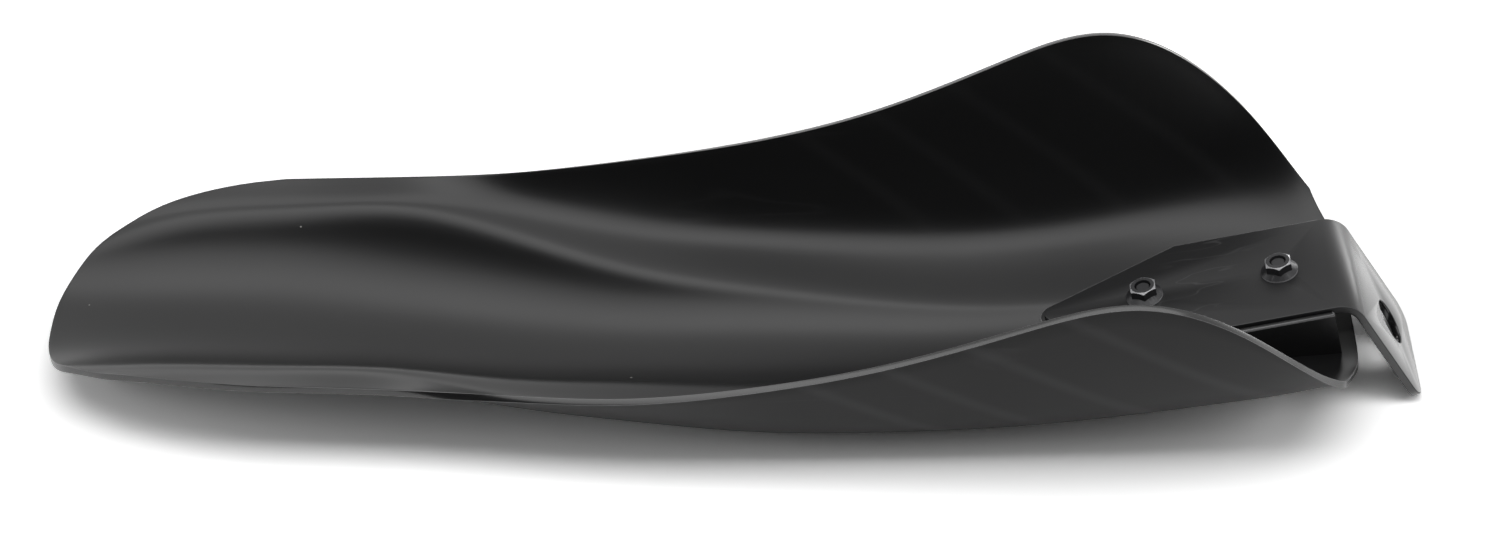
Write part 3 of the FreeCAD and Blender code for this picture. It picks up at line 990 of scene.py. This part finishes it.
@dataclass
class Bolts:
    """Two button-head bolts with threaded shanks."""

    diameter: float = 5.0
    pitch: float = 0.8
    thread_depth: float = 0.35
    end_recess: float = 0.6
    head_diameter: float = 9.5
    head_height: float = 2.75
    head_rim: float = 0.6
    socket: float = 3.0
    socket_depth: float = 1.6
    collar: float = 0.1
    steps_per_turn: int = 6
    thread_start: float = 0.3
    thread_fade: float = 0.8
    end_ease: float = 0.5
    shank_sides: int = 48
    head_sides: int = 64
    dome_angle: float = math.radians(62)
    dome_steps: int = 7
    dome_flat: float = 0.28

    def shank(self, at: float) -> Piece:
        """Round shank with a helical thread and an eased end.

        Args:
            at: Distance of the bolt from the bend.

        Returns:
            The shank in the tongue's local frame.
        """
        seat = -(TONGUE.plate + TONGUE.boss_top)
        top = TONGUE.nut_height - self.end_recess
        foot = seat + self.collar
        made = Bench.cylinder("bolt", self.diameter / 2 * MM, seat * MM, foot * MM, -at * MM,
                              self.shank_sides)
        count = int(round((top - foot) * self.steps_per_turn / self.pitch))
        Bench.select(made, "FACE", lambda centre, normal: normal.z > FACING
                     and centre.z > foot * MM - SLACK)
        for _ in range(count):
            Bench.extrude(Vector((0, 0, (top - foot) / count * MM)))
        Bench.clear()
        for vertex in made.data.vertices:
            x, y, z = vertex.co.x / MM + at, vertex.co.y / MM, vertex.co.z / MM
            turn = math.atan2(y, x) / (2 * math.pi)
            phase = (z / self.pitch - turn) % 1.0
            groove = self.thread_depth * (1 - abs(2 * phase - 1))
            fade = min(1.0, max(0.0, (z - seat - self.thread_start) / self.thread_fade))
            tip = max(0.0, self.end_ease - (top - z))
            radius = min(self.diameter / 2 - groove * fade, self.diameter / 2 - tip)
            spread = radius / max(math.hypot(x, y), 1e-9)
            vertex.co = ((x * spread - at) * MM, y * spread * MM, z * MM)
        return made

    def one(self, at: float) -> Piece:
        """Model one bolt.

        Args:
            at: Its distance from the bend.

        Returns:
            The bolt in the tongue's local frame.
        """
        made = self.shank(at)
        seat = -(TONGUE.plate + TONGUE.boss_top)
        dome = seat - self.head_rim
        head = Bench.cylinder("head", self.head_diameter / 2 * MM, dome * MM, seat * MM, -at * MM,
                              self.head_sides)
        Bench.select(head, "FACE", lambda centre, normal: normal.z < -FACING)
        rise = self.head_height - self.head_rim
        ring_before, low_before = 1.0, 0.0
        for i in range(1, self.dome_steps + 1):
            angle = self.dome_angle * i / self.dome_steps
            drawn_in = (1 - math.cos(angle)) / (1 - math.cos(self.dome_angle))
            ring = 1 - drawn_in * (1 - self.dome_flat)
            low = math.sin(angle) / math.sin(self.dome_angle)
            Bench.extrude(Vector((0, 0, -(low - low_before) * rise * MM)))
            bpy.ops.transform.resize(
                value=(ring / ring_before, ring / ring_before, 1.0),
                center_override=(-at * MM, 0.0, (dome - low * rise) * MM))
            ring_before, low_before = ring, low
        Bench.combine(made, head, Solver.JOIN)
        bottom = (seat - self.head_height) * MM
        socket = Bench.cylinder("socket", self.socket / math.sqrt(3) * MM, bottom - OVERCUT,
                                bottom + self.socket_depth * MM, -at * MM, HEXAGON)
        Bench.combine(made, socket, Solver.CUT)
        return made

    def build(self) -> None:
        """Model both bolts and join them to one piece."""
        made = fastener_pair(self.one, "bracket_bolts_pair")
        dress(made, Slot.FASTENER, (FASTENER_STEEL,), "bracket_bolts")


@dataclass
class SoftBox:
    """One rectangular studio lamp aimed at the object."""

    name: str
    at: Point
    aim: Point
    size: Span
    radiance: float
    mirrored: bool = True
    lit: bool = True

    def build(self) -> None:
        """Add the lamp, unseen by the camera."""
        Bench.clear()
        bpy.ops.object.light_add(type="AREA", location=self.at)
        lamp = bpy.context.active_object
        lamp.name = self.name
        lamp.data.shape = "RECTANGLE"
        lamp.data.size, lamp.data.size_y = self.size
        lamp.data.energy = self.radiance * math.pi * self.size[0] * self.size[1]
        way = Vector(self.aim) - Vector(self.at)
        lamp.rotation_euler = way.to_track_quat("-Z", "Y").to_euler()
        lamp.visible_camera = False
        lamp.visible_glossy = self.mirrored
        lamp.visible_diffuse = self.lit


@dataclass
class Studio:
    """Pale floor, white surroundings, soft lamps and the camera."""

    floor_size: float = 14.0
    floor_colour: Colour = (0.90, 0.90, 0.90)
    floor_shown: Colour = (1.60, 1.60, 1.60)
    floor_mirrored: float = 0.5
    floor_drop: float = 0.0002
    ambient: float = 0.31
    ambient_rise: Span = (0.08, 0.65)  # z of the direction
    back_turn: Span = (-0.35, 0.25)  # y of the direction
    back_strength: float = 0.8
    low_back: Span = (0.50, 0.08)  # z of the direction
    low_back_gain: float = 0.9
    camera_at: Point = (0.004873, -0.97563, 0.79525)
    camera_tilt: float = math.radians(52.0)
    lens: float = 93.6
    sensor: float = 36.0
    lamps: Tuple[SoftBox, ...] = (
        SoftBox("overhead_softbox", at=(0.0, 0.10, 1.35), aim=(0.0, 0.0, 0.0), size=(2.2, 1.3),
                radiance=1.30, lit=False),
        SoftBox("right_card", at=(0.95, 1.20, 0.20), aim=(0.20, 0.0, 0.03), size=(0.8, 0.5),
                radiance=3.5, lit=False),
        SoftBox("front_fill", at=(0.0, -0.38, 1.55), aim=(0.0, -0.03, 0.0), size=(2.2, 0.7),
                radiance=3.3, mirrored=False),
        SoftBox("right_fill", at=(1.1, -0.15, 0.55), aim=(0.2, 0.0, 0.0), size=(0.6, 0.5),
                radiance=3.0, mirrored=False),
        SoftBox("left_fill", at=(-1.1, -0.35, 0.50), aim=(-0.2, 0.0, 0.0), size=(0.6, 0.5),
                radiance=3.0, mirrored=False),
    )

    def floor(self) -> None:
        """Large pale floor that keeps the object's shadow."""
        Bench.clear()
        bpy.ops.mesh.primitive_plane_add(size=self.floor_size, location=(0.0, 0.0, -self.floor_drop))
        made = Bench.start("studio_floor")
        paint = bpy.data.materials.new("studio_floor_pale")
        nodes = Nodes.fresh(paint)
        path = nodes.add("ShaderNodeLightPath")
        faint = nodes.math("MULTIPLY", path.outputs["Is Glossy Ray"], self.floor_mirrored)
        seen = nodes.math("MAXIMUM", path.outputs["Is Camera Ray"], faint)
        seen = nodes.math("MAXIMUM", seen, path.outputs["Is Transmission Ray"])
        colour = nodes.mix(seen, self.floor_colour, self.floor_shown)
        matt = nodes.add("ShaderNodeBsdfDiffuse", {"Color": colour})
        nodes.add("ShaderNodeOutputMaterial", {"Surface": matt.outputs[0]})
        made.data.materials.append(paint)

    def surroundings(self) -> None:
        """White room for the camera, darker towards the photographer's side in reflections."""
        world = bpy.data.worlds.new("studio_room")
        bpy.context.scene.world = world
        nodes = Nodes.fresh(world)
        path = nodes.add("ShaderNodeLightPath")
        place = nodes.add("ShaderNodeTexCoord").outputs["Generated"]
        way = nodes.add("ShaderNodeSeparateXYZ", {0: place})
        back = nodes.ramp(way.outputs["Y"], *self.back_turn)
        low = nodes.math("MULTIPLY_ADD", nodes.ramp(way.outputs["Z"], *self.low_back),
                         self.low_back_gain, self.back_strength)
        wall = nodes.math("MULTIPLY", back, low)
        mirrored = nodes.math("MULTIPLY", wall, path.outputs["Is Glossy Ray"])
        direct = nodes.math("MAXIMUM", path.outputs["Is Camera Ray"],
                            path.outputs["Is Transmission Ray"])
        seen = nodes.math("MAXIMUM", direct, mirrored)
        above = nodes.math("MULTIPLY", nodes.ramp(way.outputs["Z"], *self.ambient_rise), self.ambient)
        soft = nodes.math("MULTIPLY", path.outputs["Is Diffuse Ray"], above)
        room = nodes.add("ShaderNodeBackground", {"Strength": nodes.math("MAXIMUM", seen, soft)})
        nodes.add("ShaderNodeOutputWorld", {"Surface": room.outputs[0]})

    def camera(self) -> None:
        """Camera at the photograph's viewing angle."""
        Bench.clear()
        bpy.ops.object.camera_add(location=self.camera_at, rotation=(self.camera_tilt, 0.0, 0.0))
        made = bpy.context.active_object
        made.name = "photo_camera"
        made.data.lens = self.lens
        made.data.sensor_width = self.sensor
        bpy.context.scene.camera = made

    def build(self) -> None:
        """Set up the whole studio."""
        self.floor()
        self.surroundings()
        for lamp in self.lamps:
            lamp.build()
        self.camera()
        bpy.context.scene.view_settings.view_transform = "Standard"
        LOG.info("studio: %d lamps", len(self.lamps))


def main() -> None:
    """Build the pieces in order, then the studio."""
    logging.basicConfig(level=logging.INFO, format="%(name)s %(message)s")
    Shell().build()
    Bracket().build()
    FlangeNuts().build()
    Bolts().build()
    Studio().build()


if __name__ == "__main__":
    main()
